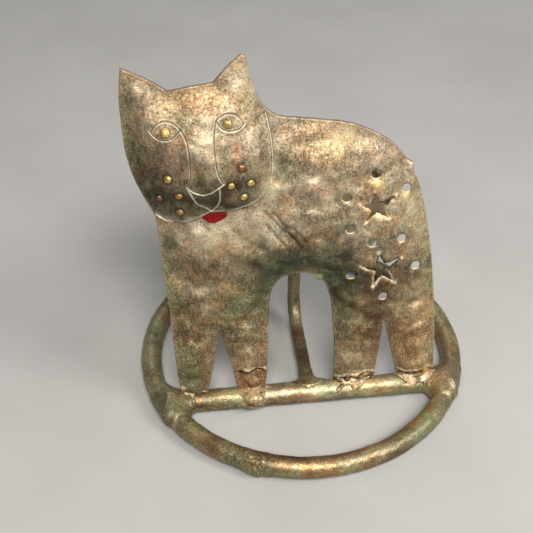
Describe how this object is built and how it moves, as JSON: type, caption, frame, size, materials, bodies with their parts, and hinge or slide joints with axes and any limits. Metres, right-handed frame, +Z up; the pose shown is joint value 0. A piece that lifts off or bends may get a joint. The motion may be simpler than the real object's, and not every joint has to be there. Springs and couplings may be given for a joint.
{
  "type": "candle holder",
  "caption": "Hammered sheet-metal cat on a round rod ring base, pierced with stars and holes, with a candle dish held behind it on a bent rod.",
  "frame": {"origin": "on the table under the middle of the ring base, the bottom centre of the part's box", "axes": "+Z up, out of the dish; the cat faces -Y; +X along the crossbar, to the right of someone facing the cat"},
  "size_m": [0.122, 0.122, 0.1344],
  "materials": {
    "patinated_sheet": "hammered brass sheet with a mottled grey-green and copper-brown patina",
    "red_enamel": "flat deep red enamel",
    "brass_pin": "worn bright brass",
    "patinated_rod": "round bar with an olive-silver patina, worn to copper-brown",
    "weld_metal": "rough weld metal under the same patina",
    "braze": "rough braze, copper-coloured and dark in the hollows",
    "dish_metal": "satin tan brass"
  },
  "bodies": {
    "root": {"cat_sheet": "patinated_sheet", "tongue": "red_enamel", "eye_pin_left": "brass_pin", "eye_pin_right": "brass_pin", "whisker_pins_left": "brass_pin", "whisker_pins_right": "brass_pin", "base_ring": "patinated_rod", "crossbar": "patinated_rod", "candle_stem": "patinated_rod", "ring_seam_weld": "weld_metal", "bar_weld_left": "weld_metal", "bar_weld_right": "weld_metal", "stem_weld": "weld_metal", "dish_weld": "weld_metal", "foot_braze_1": "braze", "foot_braze_2": "braze", "foot_braze_3": "braze", "foot_braze_4": "braze", "candle_dish": "dish_metal"}
  },
  "joints": []
}
